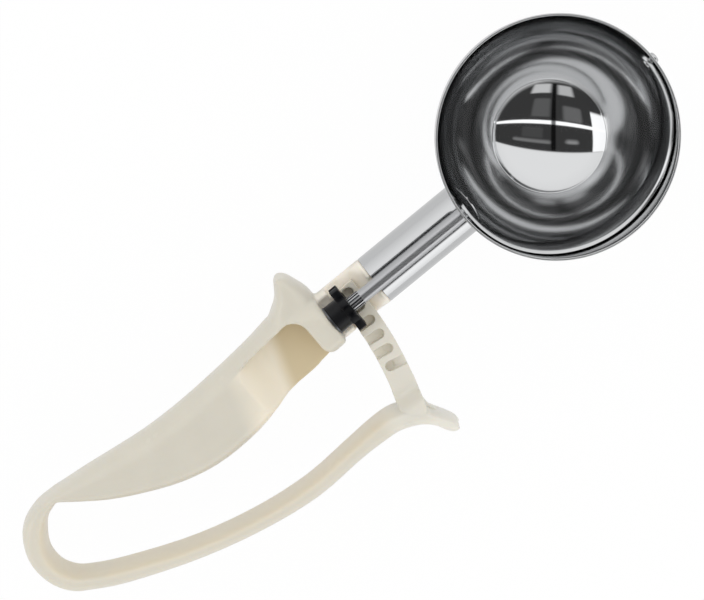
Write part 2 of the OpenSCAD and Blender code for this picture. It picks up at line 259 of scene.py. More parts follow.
# %% [markdown]
# Most finishes change over a piece: paler where light is painted on a thin part, duller where the buff
# didn't reach. Such a place is described by its edges. Each edge fades from 0 to 1 along some value,
# such as a height, and the product of all the edges is a mask that is 1 only inside all of them.

# %% Helpers for masks
def product(tree, first, *others):
    for other in others:
        first = add(tree, "Math", [first, other], operation="MULTIPLY")
    return first


def mask(tree, *edges, fade="SMOOTHSTEP"):
    """1 inside all the edges. An edge is a value, the place where it gives 0 and where it gives 1."""
    return product(tree, *[add(tree, "MapRange", edge, interpolation_type=fade) for edge in edges])


def tinted(tree, start, tone, *masks):
    """The start colour with a tone mixed in, as far as all the masks let it."""
    return add(tree, "Mix", {0: product(tree, *masks), 6: start, 7: colour(tone)}, out=2, data_type="RGBA")


def two_tone(tree, pattern, dark, pale):
    """A colour that runs from one tone to another over the middle of a pattern."""
    return tinted(tree, colour(dark), pale, mask(tree, (pattern, 0.3, 0.7), fade="LINEAR"))


def places(tree):
    """A point on the piece in metres, for the textures, and the same in millimetres, for the masks."""
    place = add(tree, "TexCoord", out="Object")
    return place, add(tree, "VectorMath", {0: place, "Scale": 1 / MM}, operation="SCALE")


print("masks ready")

# %% [markdown]
# ## Finish: moulded ivory resin
# The handle is a glossy, slightly translucent nylon resin, moulded in one shot. It looks cream where
# light runs through it and tan in deep places, and this light and shade are painted into its colour one
# part of the moulding at a time. First comes the recess, whose wall is thin: painted light turns the
# ramp cream, and painted shade turns the deep pocket behind the end wall tan.

# %% Painted light and shade of the recess
def recess_painted_light_and_shade(tree, warm, x, y, z):
    """The recess lies between the ridge and the finger side, below the grip's face."""
    ridge = add(tree, "Math", [x, -0.11, y], operation="MULTIPLY_ADD")
    slant = add(tree, "Math", [y, -0.33, x], operation="MULTIPLY_ADD")
    recess = mask(tree, (ridge, 17.7, 16.7), (y, -14.5, -12.5), (z, -13.5, -12.5), (x, -85.3, -86.2))
    on_ramp = mask(tree, (slant, -117, -108), (z, -2.6, -3.6))
    in_pocket = mask(tree, (slant, -101, -95.6), (z, -4.5, -6.5))
    # painted light: the ramp is tinted a pale cream
    warm = tinted(tree, warm, "#F1E8D5", recess, on_ramp, 0.95)
    # painted shade: the deep pocket behind the end wall is tinted tan
    return tinted(tree, warm, "#CFBE99", recess, in_pocket, 0.9)


print("recess tones ready")

# %% [markdown]
# The loop and the trigger are thinner than the grip, and painted light makes them paler, most of all on
# the side that faces into the loop, which gets less light and is painted a warm cream. Where a face points
# is read from its normal, whose numbers run from -1 to 1. The rack and the hook are thin as well, the
# hook's end the thinnest, and painted light makes them whiter.

# %% Painted light on the thin parts
def thin_part_painted_light(tree, warm, x, y, toward_x, toward_y):
    strip = mask(tree, (y, -13, -17), (x, -80, -88))
    bend = mask(tree, (x, -168, -174), (y, 12, 8))
    thin = add(tree, "Math", [strip, bend], operation="MAXIMUM")
    facing_in = [product(tree, toward_y, strip), product(tree, toward_x, bend)]
    inner_side = add(tree, "Math", facing_in, operation="MAXIMUM")
    # painted light: the thin strip and the bend are tinted paler
    warm = tinted(tree, warm, "#E6E0D0", thin, 0.35)
    # painted light: the side facing into the loop is tinted a brighter warm cream
    return tinted(tree, warm, "#E4DBC7", mask(tree, (inner_side, 0.0, 0.75)))


def slim_part_painted_light(tree, warm, x, y):
    # painted light: the rack and the hook's end are tinted whiter
    rack = product(tree, mask(tree, (y, -8, -12)), 0.4)
    hook_end = product(tree, mask(tree, (y, -37, -42)), 0.3)
    slim = add(tree, "Math", [rack, hook_end], operation="ADD")
    return tinted(tree, warm, "#F1EEE4", slim, mask(tree, (x, -90, -84)))


print("thin tones ready")

# %% [markdown]
# The collar is hollowed out under the rod, and the hollow's floor gets painted light: a paler tint and a
# faint glow. The whole resin is then put together. Its gloss comes from the polished mould, and a very
# faint unevenness, about 4 mm across, is what sinking does over thick parts. The rack passes over the
# collar without being part of it, so it gets the resin without the hollow's painted light.

# %% Ivory resin
def collar_hollow(tree, x, y, z, toward_z):
    """The upward faces of the hollow, which lies 5 to 8 mm down and reaches 8 mm to both sides."""
    across = add(tree, "Math", [y], operation="ABSOLUTE")
    upward = mask(tree, (toward_z, 0.0, 0.4), fade="LINEAR")
    return product(tree, mask(tree, (x, -83, -79), (z, -5, -8), (across, 8.2, 7.4)), upward)


def ivory_resin(name, has_collar):
    material, tree, shader = finish(name)
    place, point = places(tree)
    x, y, z = add(tree, "SeparateXYZ", [point], out=slice(3))
    normal = add(tree, "NewGeometry", out="Normal")
    toward_x, toward_y, toward_z = add(tree, "SeparateXYZ", [normal], out=slice(3))
    cloud = add(tree, "TexNoise", {"Vector": place, "Scale": 110.0, "Detail": 3.0}, out="Fac")
    warm = two_tone(tree, cloud, "#D5D0C2", "#D8D3C5")
    # outer corners get a painted highlight, so they look paler than the flats
    corner = add(tree, "NewGeometry", out="Pointiness")
    warm = tinted(tree, warm, "#EBE8DE", mask(tree, (corner, 0.512, 0.56), (x, -88, -94)), 0.12)
    warm = recess_painted_light_and_shade(tree, warm, x, y, z)
    warm = thin_part_painted_light(tree, warm, x, y, toward_x, toward_y)
    # painted light: the hollow's upward faces are tinted paler and given a faint glow by emission
    hollow = product(tree, collar_hollow(tree, x, y, z, toward_z), float(has_collar))
    warm = tinted(tree, warm, "#EFE8DC", hollow, 0.8)
    warm = slim_part_painted_light(tree, warm, x, y)
    sinks = add(tree, "TexNoise", {"Vector": place, "Scale": 250.0, "Detail": 2.0}, out="Fac")
    bump = add(tree, "Bump", {"Height": sinks, "Strength": 0.02, "Distance": 0.3 * MM})
    plug(tree, shader, {"Base Color": warm, "Normal": bump, "Roughness": 0.3, "IOR": 1.49,
                        "Subsurface Weight": 0.15, "Subsurface Radius": (1.0, 0.7, 0.4),
                        "Subsurface Scale": 2 * MM, "Emission Color": colour("#F0E9DE"),
                        "Emission Strength": product(tree, hollow, 0.11)})
    return material


IVORY = ivory_resin("moulded_ivory_resin", True)
RACK_IVORY = ivory_resin("moulded_ivory_rack", False)
print(IVORY.name, RACK_IVORY.name)

# %% [markdown]
# ## Finish: the steels
# The bowl is stainless steel, spun and then buffed. The buff leaves its floor a mirror and the steep
# wall a little duller, with fine rings left by the spinning, so the roughness grows with the distance
# from the axis. The tube is chromed and nearly a mirror, with draw lines along it. The rod is bright
# drawn steel and the blade is ground strip. A metal gets its look from what it reflects, so the colour
# is a plain pale grey and the pattern sits in roughness and bump.

# %% Buffed bowl steel
def bowl_steel():
    material, tree, shader = finish("buffed_stainless_steel")
    place, point = places(tree)
    z = add(tree, "SeparateXYZ", [point], out="Z")
    # the mirror spot sits 3 mm off the bowl's own middle, as a hand-held buff leaves it
    from_spot = add(tree, "Mapping", {"Vector": point, "Location": (-0.5, 2.9, 0), "Scale": (1, 1, 0)})
    reach = add(tree, "VectorMath", [from_spot], out="Value", operation="LENGTH")
    wall = mask(tree, (reach, 16.1, 17.2))
    # spun rings, 1.6 mm apart in height: real ones are finer, and these are coarse enough to show
    rings = add(tree, "TexWave", {"Vector": place, "Scale": 200.0, "Distortion": 0.4, "Detail": 1.0},
                out="Fac", wave_type="BANDS", bands_direction="Z")
    # the lip was ground flat last, and the straight wall under it is not buffed as fine as the ball
    lip = mask(tree, (z, -0.4, -0.2), fade="LINEAR")
    straight = mask(tree, (z, -6, -4), fade="LINEAR")
    rough = 0.05
    for where, more in ((wall, 0.06), (product(tree, rings, wall), 0.02), (lip, 0.08), (straight, 0.09)):
        rough = add(tree, "Math", [where, more, rough], operation="MULTIPLY_ADD")
    # a hair line bounds the spot where the buff stopped
    beside = add(tree, "Math", [reach, 16.3], operation="SUBTRACT")
    beside = add(tree, "Math", [beside], operation="ABSOLUTE")
    hair_line = mask(tree, (beside, 0.0, 0.2))
    bump = add(tree, "Bump", {"Height": hair_line, "Strength": 0.5, "Distance": 0.01 * MM})
    plug(tree, shader, {"Metallic": 1.0, "Base Color": colour("#CFD0D1"), "Roughness": rough, "Normal": bump})
    return material


BOWL_STEEL = bowl_steel()
print(BOWL_STEEL.name)

# %% [markdown]
# The other metals are one finish with different numbers: fine lines along the piece, which make it a
# little duller and a little brighter in turns. A noise texture stretched fifty times along one axis
# gives such lines. Real ones are hundredths of a millimetre apart, too fine to show, so these are drawn
# half a millimetre to a millimetre apart.

# %% Drawn, ground and turned steel
def drawn_steel(name, tone, roughness, lines, along="X", relief=0.0):
    """Bright metal with fine lines along one axis: lines is how many fit in a metre across."""
    material, tree, shader = finish(name)
    place = add(tree, "TexCoord", out="Object")
    stretch = {"X": (0.02, 1, 1), "Y": (1, 0.02, 1)}[along]
    place = add(tree, "Mapping", {"Vector": place, "Scale": stretch})
    noise = add(tree, "TexNoise", {"Vector": place, "Scale": lines, "Detail": 3.0}, out="Fac")
    rough = add(tree, "MapRange", [noise, 0.0, 1.0, roughness * 0.9, roughness * 1.1])
    plug(tree, shader, {"Metallic": 1.0, "Base Color": colour(tone), "Roughness": rough})
    if relief:
        bump = add(tree, "Bump", {"Height": noise, "Strength": relief, "Distance": 0.2 * MM})
        plug(tree, shader, {"Normal": bump})
    return material


# chrome is nearly a mirror, and drawn steel spreads its highlight along the rod
CHROME = drawn_steel("chromed_tube", "#C9CACB", 0.12, 900.0)
ROD_STEEL = drawn_steel("drawn_rod_steel", "#BBBCBE", 0.33, 1500.0)
# oil collects between the splines, and painted shade leaves them dark as well
GROOVE_STEEL = drawn_steel("oiled_and_shaded_groove_steel", "#55565A", 0.35, 1500.0)
# the strip is ground to a soft shine, the washer is stamped and dull, and the rivet is turned bright
BLADE_STEEL = drawn_steel("ground_strip_steel", "#C7C8C9", 0.2, 1500.0, along="Y")
WASHER_STEEL = drawn_steel("dull_washer_steel", "#727376", 0.35, 2000.0, along="Y")
TURNED_STEEL = drawn_steel("turned_rivet_steel", "#C6C7C8", 0.14, 2000.0, along="Y", relief=0.02)
print([m.name for m in (CHROME, ROD_STEEL, GROOVE_STEEL, BLADE_STEEL, WASHER_STEEL, TURNED_STEEL)])

# %% [markdown]
# ## Finish: black moulded nylon
# The pinion is a small black nylon moulding with a satin skin. Its grain is about 0.3 mm, and it
# breaks the highlights along the edges of the teeth.

# %% Black nylon
def black_nylon():
    material, tree, shader = finish("moulded_black_nylon")
    place = add(tree, "TexCoord", out="Object")
    grain = add(tree, "TexNoise", {"Vector": place, "Scale": 3000.0, "Detail": 2.0}, out="Fac")
    bump = add(tree, "Bump", {"Height": grain, "Strength": 0.15, "Distance": 0.1 * MM})
    plug(tree, shader, {"Base Color": two_tone(tree, grain, "#0A0B0E", "#111216"), "Normal": bump,
                        "Roughness": 0.38, "IOR": 1.4, "Specular IOR Level": 0.35})
    return material


BLACK = black_nylon()
print(BLACK.name)

# %% [markdown]
# ## The ivory moulding
# On the real tool the grip, the sprung loop and the trigger are one moulding with soft fillets where
# the horn, the end wall and the collar meet. Filleting such crossing shapes edge by edge is slow and
# fails where they blend. Instead, copies of the CAD's regions are joined and wrapped in one even skin
# by a voxel remesh, and a few smoothing passes round every corner the way a mould's cutter does. The
# loop bends when the trigger is squeezed, and here the skin is one piece.

# %% Helpers for a skin
def skin(obj, voxel, passes, factor=0.5, keep=None):
    """One closed skin round everything in the object, smoothed, apart from what keep names."""
    modify(obj, "REMESH", mode="VOXEL", voxel_size=voxel * MM, adaptivity=0.0)
    group = ""
    if keep:
        free = obj.vertex_groups.new(name="free")
        for v in obj.data.vertices:
            free.add([v.index], 1.0 - keep(v.co / MM), "REPLACE")
        group = "free"
    modify(obj, "SMOOTH", factor=factor, iterations=passes, vertex_group=group)
    return smooth(obj, 60)


def soften(obj, passes, weight):
    """More smoothing in one place: weight gives each point's share."""
    group = obj.vertex_groups.new(name="soft")
    for v in obj.data.vertices:
        group.add([v.index], weight(v.co / MM), "REPLACE")
    return modify(obj, "SMOOTH", factor=0.5, iterations=passes, vertex_group="soft")


def share(value):
    """A number kept between 0 and 1."""
    return min(1, max(0, value))


print("skin helpers ready")

# %% Skin the moulding
VOXEL = 0.48
SPIGOT_X = -66.5         # from here on the moulding is hidden in the tube, and stays as it was cut
COLLAR = (-71.8, -65.2)  # the stretch whose edge against the tube is rounded
RAMP_END, RAMP_FADE = -113.5, 4.0           # where the recess's ramp runs out, and how softly it does
BEND_X, BEND_Y, BEND_R = -171.4, 9.0, 7.0   # the inner corner between grip and loop
moulding = join(copy_of("grip", "handle_moulding"), copy_of("spring_loop", "loop_copy"),
                copy_of("trigger_lever", "trigger_copy"))
skin(moulding, VOXEL, 5, keep=lambda p: float(p.x > SPIGOT_X))
soften(moulding, 10, lambda p: float(COLLAR[0] < p.x < COLLAR[1] and p.z > -13))
soften(moulding, 40, lambda p: share(1.6 - abs(p.x - RAMP_END) / RAMP_FADE) * share(7.5 - p.y) * (p.z > -12))
soften(moulding, 36, lambda p: share(1 - math.hypot(p.x - BEND_X, p.y - BEND_Y) / BEND_R))
moulding.data.materials.clear()
moulding.data.materials.append(IVORY)
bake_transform(moulding)
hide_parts("grip", "spring_loop", "trigger_lever")
print(faces_of(moulding))

# %% [markdown]
# ## The rack
# The rack is the thin curved arm of the trigger. Its pockets are blind and round at one end, and the
# pinion's teeth drop into them. It has to move apart from the grip that it passes over, so it is a
# piece of its own. A fine skin softens the rims of its pockets, and its root runs up into the trigger
# on a ramp, made by extruding a side view.

# %% Helpers for the rack's foot
def extrusion(name, outline, low, high, place):
    """A flat outline pushed out into a block: place turns its two numbers and a depth into a point."""
    bpy.ops.object.select_all(action="DESELECT")
    bpy.ops.mesh.primitive_circle_add(vertices=len(outline), radius=MM, fill_type="NGON", location=(0, 0, 0))
    obj = named(name)
    for vert, (u, v) in zip(obj.data.vertices, outline):
        vert.co = place(u, v, low)
    only(obj)
    bpy.ops.object.mode_set(mode="EDIT")
    bpy.ops.mesh.select_all(action="SELECT")
    bpy.ops.mesh.extrude_region_move(TRANSFORM_OT_translate={"value": place(0, 0, high) - place(0, 0, low)})
    bpy.ops.mesh.select_all(action="SELECT")
    bpy.ops.mesh.normals_make_consistent(inside=False)
    bpy.ops.object.mode_set(mode="OBJECT")
    return obj


def polar(radius, y):
    """The point at a height y on an arc about the hinge."""
    return HINGE_X + math.sqrt(radius ** 2 - y ** 2), y


print("a point on the rack's arc:", [round(c, 1) for c in polar(100, -20)])

# %% The rack's foot
RACK_IN, RACK_OUT = 94.8, 102.0          # its two radii about the hinge
RACK_TOP, RACK_FLOOR = -8.6, -12.0
TRIGGER_TOP = -3.65
ROOT_Y, MID_Y, FOOT_Y = -27.6, -32, -36.4  # where the climb begins, and where it ends in the trigger
OVERLAP = 0.12                           # the foot stands out this far, so that no two faces coincide
# the height y, and how far the foot flares out there towards the finger hook
FLARE = [(-40, 2.9), (-38.6, 2.3), (-37.3, 1.4), (-36, 0.7), (-34.5, 0.2), (-32.5, 0)]
climb = []
for t in [i / 12 for i in range(13)]:
    rise = (TRIGGER_TOP - RACK_TOP) * (1 - math.cos(math.pi * t)) / 2
    climb.append((ROOT_Y - 1 - 6.4 * t, RACK_TOP + rise))
side_view = [(10, RACK_FLOOR - 1), (10, RACK_TOP)] + climb + [(-50, TRIGGER_TOP), (-50, RACK_FLOOR - 1)]
near, far = RACK_IN - OVERLAP, RACK_OUT + OVERLAP
corners = [(near, ROOT_Y), (near, MID_Y), (near, FOOT_Y), (far - 0.8, -38.2), (far, FOOT_Y), (far, MID_Y),
           (far, ROOT_Y)]
foot = extrusion("rack_foot", [polar(*c) for c in corners], RACK_FLOOR - OVERLAP, -3, at)
cut_by(foot, extrusion("foot_side", side_view, -90, -60, lambda y, z, x: at(x, y, z)), "INTERSECT")
wing = [polar(near + 3, -31), polar(near + 3, FOOT_Y)] + [polar(far + out, y) for y, out in FLARE]
cut_by(foot, extrusion("foot_wing", wing, RACK_FLOOR, RACK_TOP, at), "UNION")
print(faces_of(foot))

# %% Rack with soft pocket rims
rack = cut_by(copy_of("rack_arm", "trigger_rack"), foot, "UNION")
skin(rack, 0.2, 3)
soften(rack, 30, lambda p: share((ROOT_Y - p.y) / 1.5))
rack.data.materials.clear()
rack.data.materials.append(RACK_IVORY)
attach(rack, "trigger")
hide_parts("rack_arm")
print(faces_of(rack))

# %% [markdown]
# ## The bowl
# The bowl is spun from one disc of steel, so it is a body of revolution with a plain turned lip. A
# sphere is cut at its widest ring, its edge is pulled up as the straight rim, and Solidify gives the
# wall its thickness inwards. The two corners of the lip get a small round, which is where the bright
# line round the mouth comes from.

# %% Bowl
SHEET = 0.45             # thinner than drawn, so that the rim's bright line is as fine as it should be
DRAFT = 0.3              # outside, the rim opens a little toward the lip
LIP_ROUND = 0.3
bowl = ball("scoop_bowl", BOWL_R + WALL - DRAFT, rings=128)
only(bowl)
bpy.ops.object.mode_set(mode="EDIT")
bpy.ops.mesh.select_all(action="SELECT")
bpy.ops.mesh.bisect(plane_co=at(0, 0, AXIS_Z), plane_no=(0, 0, 1), clear_outer=True)
bpy.ops.object.mode_set(mode="OBJECT")
rim = pick(bowl, lambda p, part: p.z > AXIS_Z - 0.01, "EDGE")
bpy.ops.mesh.extrude_edges_move(TRANSFORM_OT_translate={"value": (0, 0, -AXIS_Z * MM)})
wider = (BOWL_R + WALL) / (BOWL_R + WALL - DRAFT)
bpy.ops.transform.resize(value=(wider, wider, 1), center_override=(0, 0, 0))
bpy.ops.object.mode_set(mode="OBJECT")
modify(bowl, "SOLIDIFY", thickness=SHEET * MM, offset=-1.0, use_even_offset=True)
# the lip's inner edge moves in over the ball's inside, which leaves the lip wider than the sheet
for v in bowl.data.vertices:
    out = math.hypot(v.co.x, v.co.y) / MM
    if v.co.z > -0.01 * MM and out < BOWL_R + WALL - 0.2:
        v.co.x, v.co.y = (c * (BOWL_R + WALL - DRAFT - SHEET) / out for c in v.co.xy)
middle = BOWL_R + WALL - (DRAFT + SHEET) / 2
lip = pick(bowl, lambda p, part: p.z > -0.01 and abs(math.hypot(p.x, p.y) - middle) > 0.3, "EDGE")
bpy.ops.mesh.bevel(offset=LIP_ROUND * MM, segments=5, affect="EDGES")
bpy.ops.object.mode_set(mode="OBJECT")
smooth(tidy_mesh(bowl), 40)
bowl.data.materials.append(BOWL_STEEL)
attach(bowl, "handle")
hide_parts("bowl")
print(faces_of(bowl), "rim edges", rim, "lip edges", lip)

# %% [markdown]
# ## The shank tube
# The tube is rolled from steel sheet and chromed, and a trough for the rod is pressed into its top. It
# is made the same way here: a flat grid is rolled round the tube's axis, and every point under the
# press is pushed down to the trough's floor. The press leaves soft shoulders, so the two surfaces are
# blended where they cross. The trough stops short of the bowl in a round end, a narrower groove goes
# on, and the last ring lies inside the bowl's wall. Solidify then gives the sheet its thickness.

# %% Tube with its trough
TROUGH_R, TROUGH_Z, TROUGH_END = 2.4, -4.8, -36.7
GROOVE_R = ROD_R + 0.35
TROUGH_SHOULDER, GROOVE_SHOULDER = 1.4, 0.4
FINE, COARSE = 0.75, 3.41   # degrees between columns of points, over the trough and round the rest
FINE_COUNT, COARSE_COUNT = 49, 42


def pressed(u, radius, z):
    """Floor of a round-bottomed press at a distance u from its line."""
    return z - math.sqrt(radius ** 2 - u ** 2) if u < radius else z + 3 * (u - radius)


def softer_of(a, b, width):
    """The lower of two heights, with a rounded shoulder where they cross."""
    closeness = max(width - abs(a - b), 0) / width
    return min(a, b) - closeness * closeness * width / 4


print("press at 1 mm from its line:", round(pressed(1, TROUGH_R, TROUGH_Z), 2))

# %% Roll and press the tube
turns = [FINE * i for i in range(FINE_COUNT)]
turns += [FINE * FINE_COUNT + COARSE * i for i in range(1, COARSE_COUNT + 1)]
turns = [-t for t in reversed(turns[1:])] + turns[:-1] + [180.0]
turns[0] = -180.0
# shares of the tube's length: 14 long steps, then 40 short ones over the trough's round end
shares = [i / 14 * 0.86 for i in range(14)] + [0.86 + 0.14 * i / 40 for i in range(41)]
bpy.ops.object.select_all(action="DESELECT")
bpy.ops.mesh.primitive_grid_add(x_subdivisions=len(shares) - 1, y_subdivisions=len(turns) - 1, size=MM)
tube = named("shank_tube_chromed")
for index, v in enumerate(tube.data.vertices):
    along, turn = shares[index % len(shares)], math.radians(turns[index // len(shares)])
    y, z = TUBE_R * math.sin(turn), TUBE_Z + TUBE_R * math.cos(turn)
    x = JOINT_X + along * (-math.sqrt((BOWL_R + WALL / 2) ** 2 - y ** 2 - (z - AXIS_Z) ** 2) - JOINT_X)
    if z > TUBE_Z:
        z = softer_of(z, pressed(abs(y), GROOVE_R, AXIS_Z), GROOVE_SHOULDER)
        beside = math.hypot(y, max(x - TROUGH_END, 0))
        z = softer_of(z, pressed(beside, TROUGH_R, TROUGH_Z), TROUGH_SHOULDER)
    v.co = at(x, y, z)
tidy_mesh(tube)
modify(tube, "SOLIDIFY", thickness=WALL * MM, offset=-1.0)
smooth(tube, 40)
tube.data.materials.append(CHROME)
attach(tube, "handle")
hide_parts("shank_tube")
print(faces_of(tube))

# %% [markdown]
# ## The rod
# The rod is drawn steel. Where the pinion sits, fine splines are rolled into it. Every other column of
# faces round that stretch is raised a quarter of a millimetre, as the rolling does.

# %% Rod with rolled splines
ROD_X0, ROD_X1 = -84.4, -32.4
SPLINE_X0, SPLINE_X1 = -80.0, -69.6
SPLINE_SIDES, RIB_RISE = 32, 0.25
shaft = rod("drive_rod", ROD_R, ROD_X0, ROD_X1, sides=SPLINE_SIDES)
only(shaft)
bpy.ops.object.mode_set(mode="EDIT")
for x in (SPLINE_X0, SPLINE_X1):
    bpy.ops.mesh.select_all(action="SELECT")
    bpy.ops.mesh.bisect(plane_co=at(x, 0, 0), plane_no=(1, 0, 0))
bpy.ops.object.mode_set(mode="OBJECT")


def on_rib(p, part):
    turn = math.atan2(p.z - AXIS_Z, p.y) / (2 * math.pi) * SPLINE_SIDES
    return abs(part.normal.x) < 0.1 and SPLINE_X0 < p.x < SPLINE_X1 and round(turn - 0.5) % 2 == 0


ribs = pick(shaft, on_rib, "FACE")
bpy.ops.mesh.extrude_faces_move(TRANSFORM_OT_shrink_fatten={"value": RIB_RISE * MM})
bpy.ops.object.mode_set(mode="OBJECT")
shaft.data.materials.append(ROD_STEEL)
shaft.data.materials.append(GROOVE_STEEL)
# what lies lower than the ribs' tops is groove
for face in shaft.data.polygons:
    centre = face.center / MM
    if SPLINE_X0 < centre.x < SPLINE_X1 and math.hypot(centre.y, centre.z - AXIS_Z) < ROD_R + 0.2:
        face.material_index = 1
smooth(tidy_mesh(shaft), 25)
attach(shaft, "shaft")
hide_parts("drive_shaft")
print(faces_of(shaft), "ribs", ribs)

# %% [markdown]
# ## The pinion and its washer
# The pinion's form is right in the CAD: a barrel hub and a flange with square teeth. A merged copy gets
# its flat faces back with a limited dissolve, and a bevel takes the sharpness off, because a mould
# can't leave a razor edge. The washer behind it stays the CAD's own.

# %% Pinion and washer
FLAT_WITHIN, SHARP_OVER = math.radians(1.5), math.radians(40)
TOOTH_ROUND = 0.22
pinion = copy_of("pinion", "rack_pinion")
modify(pinion, "DECIMATE", decimate_type="DISSOLVE", angle_limit=FLAT_WITHIN)
modify(pinion, "BEVEL", width=TOOTH_ROUND * MM, segments=3, limit_method="ANGLE", angle_limit=SHARP_OVER)
smooth(pinion, 35)
pinion.data.materials.clear()
pinion.data.materials.append(BLACK)
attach(pinion, "shaft")
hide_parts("pinion")
washer = frame["nodes"]["thrust_washer"]
washer.data.materials.clear()
washer.data.materials.append(WASHER_STEEL)
print(faces_of(pinion))

# %% [markdown]
# ## The sweep blade
# The blade is a strip of steel rolled to the bowl's curve, with a round ear at each end. A rounded
# section is spun half a turn about the bowl's middle, and each station is then scaled across to the
# strip's width: full along the bottom, narrower near the ears and closing to a round past them. At
# rest it lies against one wall, with its middle 15.5 degrees below the level of the rod.

# %% Blade
BLADE_OUT, BLADE_T, BLADE_HALF = 32.6, 0.9, 4.4   # outer radius, thickness and half width of the strip
EAR_R, NECK, TAPER = 3.0, 2.0, 14.0   # the ear's round, and where the strip begins and ends to widen
EDGE_ROUND = 0.34                     # half width at which the strip closes past the ear
BLADE_REST = 15.5                     # degrees


def blade_half(height):
    """Half width of the strip at a height above the rod's line, before it is turned to rest."""
    if height >= 0:
        return max(math.sqrt(max(EAR_R ** 2 - height ** 2, 0)), EDGE_ROUND)
    if height > -NECK:
        return EAR_R
    return min(BLADE_HALF, EAR_R + (BLADE_HALF - EAR_R) * (-height - NECK) / (TAPER - NECK))


bpy.ops.object.select_all(action="DESELECT")
bpy.ops.mesh.primitive_plane_add(size=MM, location=(0, 0, 0))
blade = named("sweep_blade_strip")
blade.scale = (BLADE_T, 2 * BLADE_HALF, 1)
bake_place(blade)
bpy.ops.object.mode_set(mode="EDIT")
bpy.ops.mesh.select_all(action="SELECT")
bpy.ops.mesh.bevel(offset=0.2 * MM, segments=2, affect="VERTICES")
bpy.ops.object.mode_set(mode="OBJECT")
# the inner face is narrower, because the strip's edges slant
for v in blade.data.vertices:
    v.co.y -= math.copysign(0.8 * (0.5 * MM - v.co.x / BLADE_T), v.co.y)
bpy.ops.object.mode_set(mode="EDIT")
bpy.ops.mesh.select_all(action="SELECT")
bpy.ops.transform.translate(value=at(BLADE_OUT - BLADE_T / 2, 0, 0))
over = math.asin(EAR_R / BLADE_OUT)
bpy.ops.mesh.select_all(action="SELECT")
bpy.ops.mesh.spin(steps=300, angle=-math.pi - 2 * over, center=(0, 0, 0), axis=(0, 1, 0))
bpy.ops.object.mode_set(mode="OBJECT")
print("points on the spun strip:", len(blade.data.vertices))

# %% Blade's width and rest
blade.data.transform(Matrix.Rotation(-over, 4, "Y"))
for v in blade.data.vertices:
    v.co.y *= blade_half(v.co.z / MM) / BLADE_HALF
tidy_mesh(blade, merge=0.001)
# the two open ends are closed with a face each
bpy.ops.object.mode_set(mode="EDIT")
bpy.ops.mesh.select_mode(type="EDGE")
bpy.ops.mesh.select_all(action="DESELECT")
bpy.ops.mesh.select_non_manifold(extend=False, use_wire=False, use_boundary=True, use_multi_face=False,
                                 use_non_contiguous=False, use_verts=False)
bpy.ops.mesh.edge_face_add()
bpy.ops.mesh.select_all(action="SELECT")
bpy.ops.mesh.normals_make_consistent(inside=False)
bpy.ops.object.mode_set(mode="OBJECT")
rest_turn = Matrix.Rotation(math.radians(BLADE_REST - 90), 4, "X")
blade.data.transform(Matrix.Translation(at(0, 0, AXIS_Z)) @ rest_turn)
smooth(blade, 50)
blade.data.materials.append(BLADE_STEEL)
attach(blade, "shaft")
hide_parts("sweep_blade")
print(faces_of(blade), [round(v / MM, 1) for v in blade.dimensions])

# %% [markdown]
# ## The rivet
# The far end of the blade turns on a rivet through the bowl's wall. Its head outside is a low dome,
# which a wide bevel on a short cylinder gives.

# %% Rivet
HEAD_X, STAKE_X = 35.0, 31.2   # outer face of the head, and inner face of the staked end


def turned_head(name, radius, x0, x1, round_over, outer):
    """A short cylinder with the rim of its outer face rounded over."""
    head = rod(name, radius, x0, x1, sides=32)
    pick(head, lambda p, part: abs(p.x - outer) < 0.01, "EDGE")
    bpy.ops.mesh.bevel(offset=round_over * MM, segments=4, affect="EDGES")
    bpy.ops.object.mode_set(mode="OBJECT")
    return head


rivet = rod("pivot_rivet_turned", 1.1, 31.3, 34.4, sides=32)
cut_by(rivet, turned_head("rivet_head", 1.6, 33.98, HEAD_X, 0.7, HEAD_X), "UNION")
cut_by(rivet, turned_head("rivet_stake", 1.5, STAKE_X, 31.75, 0.35, STAKE_X), "UNION")
smooth(tidy_mesh(rivet), 30)
rivet.data.materials.append(TURNED_STEEL)
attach(rivet, "handle")
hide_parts("pivot_rivet")
print(faces_of(rivet))

# %% [markdown]
# ## Camera
# The camera stands nearly over the tool and looks almost straight down, turned so that the tool runs
# from the lower left to the upper right. Its lens is given as a focal length in pixels, which one line
# turns to millimetres.

# %% Camera
position = Vector((-0.045, 0.0955, 0.620))
target = Vector((-0.07229, 0.000306, -0.008))
ROLL = -0.692454
LENS_PIXELS, PICTURE_WIDE = 2281.3, 704   # focal length and the render's width, both in pixels
SENSOR = 36.0                             # millimetres
ahead = (target - position).normalized()
side = ahead.cross(Vector((0, 1, 0))).normalized()
above = side.cross(ahead)
right = math.cos(ROLL) * side + math.sin(ROLL) * above
up = -math.sin(ROLL) * side + math.cos(ROLL) * above
lens = bpy.data.cameras.new("camera")
lens.sensor_width = SENSOR
lens.lens = SENSOR * LENS_PIXELS / PICTURE_WIDE
camera = bpy.data.objects.new("camera", lens)
bpy.context.collection.objects.link(camera)
stand = Matrix((right, up, -ahead)).transposed().to_4x4()
stand.translation = position
camera.matrix_world = stand
bpy.context.scene.camera = camera
print("image up", [round(c, 3) for c in up], "right", [round(c, 3) for c in right])

# %% [markdown]
# ## The room
# Steel shows nothing but its room, so the room matters as much as the finish. The world is built by
# direction: a white sweep past the top of the view, a dim room with one long strip light over the
# camera, and white again low down all round. Only glossy rays see that room. Diffuse light is plain
# and even, and the camera sees white. A direction is first turned to two numbers, p across the view and
# q up it, as on a wall behind the camera.

